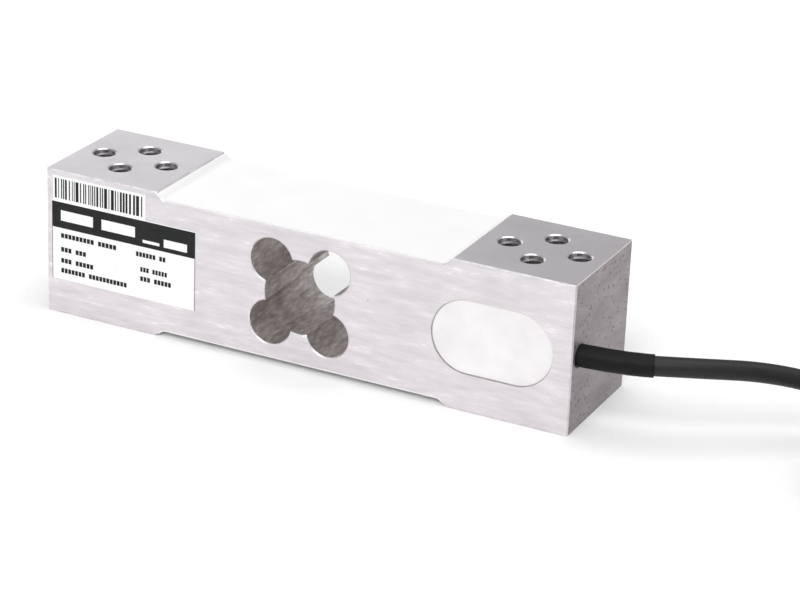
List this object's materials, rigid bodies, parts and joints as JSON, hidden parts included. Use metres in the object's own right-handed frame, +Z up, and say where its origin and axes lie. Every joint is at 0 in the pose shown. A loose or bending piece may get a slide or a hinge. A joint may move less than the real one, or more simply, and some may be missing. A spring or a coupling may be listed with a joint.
{
  "type": "single point load cell",
  "caption": "Bar-shaped single point load cell: milled aluminium beam with a clover cavity, coated gauges, tapped end pads, potted side pocket and a shielded cable from one end.",
  "frame": {"origin": "middle of the beam's underside, on the plane of its lower pads", "axes": "+X along the beam to the fixed end where the cable leaves, +Y to the back face, away from the label and pocket, +Z up"},
  "size_m": [0.3275, 0.0442, 0.04],
  "materials": {
    "machined_aluminium": "milled, fine lengthwise grain, natural colour",
    "white_silicone": "matt cured coating",
    "polyimide_film": "thin amber film",
    "gauge_foil": "etched foil",
    "enamelled_copper": "clear enamel on copper wire",
    "white_potting": "cast, matt",
    "board_laminate": "solder mask on glass laminate",
    "resistor_coating": "dipped varnish",
    "chip_ceramic": "glazed ceramic",
    "natural_nylon": "moulded, slightly clear",
    "black_heat_shrink": "shrunk tube, satin",
    "black_pvc": "extruded jacket, satin",
    "black_wire_tie": "flat plastic band on a wire",
    "label_film": "printed film",
    "core_red": "thin insulation",
    "core_black": "thin insulation",
    "core_green": "thin insulation",
    "core_white": "thin insulation",
    "clear_sleeve": "clear sleeve on tinned drain wire"
  },
  "bodies": {
    "root": {"beam": "machined_aluminium", "coating_top": "white_silicone", "coating_bottom": "white_silicone", "potting": "white_potting", "terminal_board": "board_laminate", "span_resistor_upper": "resistor_coating", "span_resistor_lower": "resistor_coating", "zero_trim_resistor": "chip_ceramic", "zero_drift_resistor": "chip_ceramic", "cable_tie": "natural_nylon", "cable_jacket": "black_pvc", "bend_sleeve": "black_heat_shrink", "cable_hank": "black_pvc", "hank_tie_front": "black_wire_tie", "hank_tie_back": "black_wire_tie", "rating_label": "label_film", "gauge_carrier_top_fixed": "polyimide_film", "gauge_grid_top_fixed": "gauge_foil", "gauge_leads_top_fixed": "enamelled_copper", "gauge_carrier_top_load": "polyimide_film", "gauge_grid_top_load": "gauge_foil", "gauge_leads_top_load": "enamelled_copper", "gauge_carrier_bottom_fixed": "polyimide_film", "gauge_grid_bottom_fixed": "gauge_foil", "gauge_leads_bottom_fixed": "enamelled_copper", "gauge_carrier_bottom_load": "polyimide_film", "gauge_grid_bottom_load": "gauge_foil", "gauge_leads_bottom_load": "enamelled_copper", "core_red": "core_red", "tail_red": "core_red", "core_black": "core_black", "tail_black": "core_black", "core_green": "core_green", "tail_green": "core_green", "core_white": "core_white", "tail_white": "core_white", "core_drain": "clear_sleeve", "tail_drain": "clear_sleeve"}
  },
  "joints": []
}
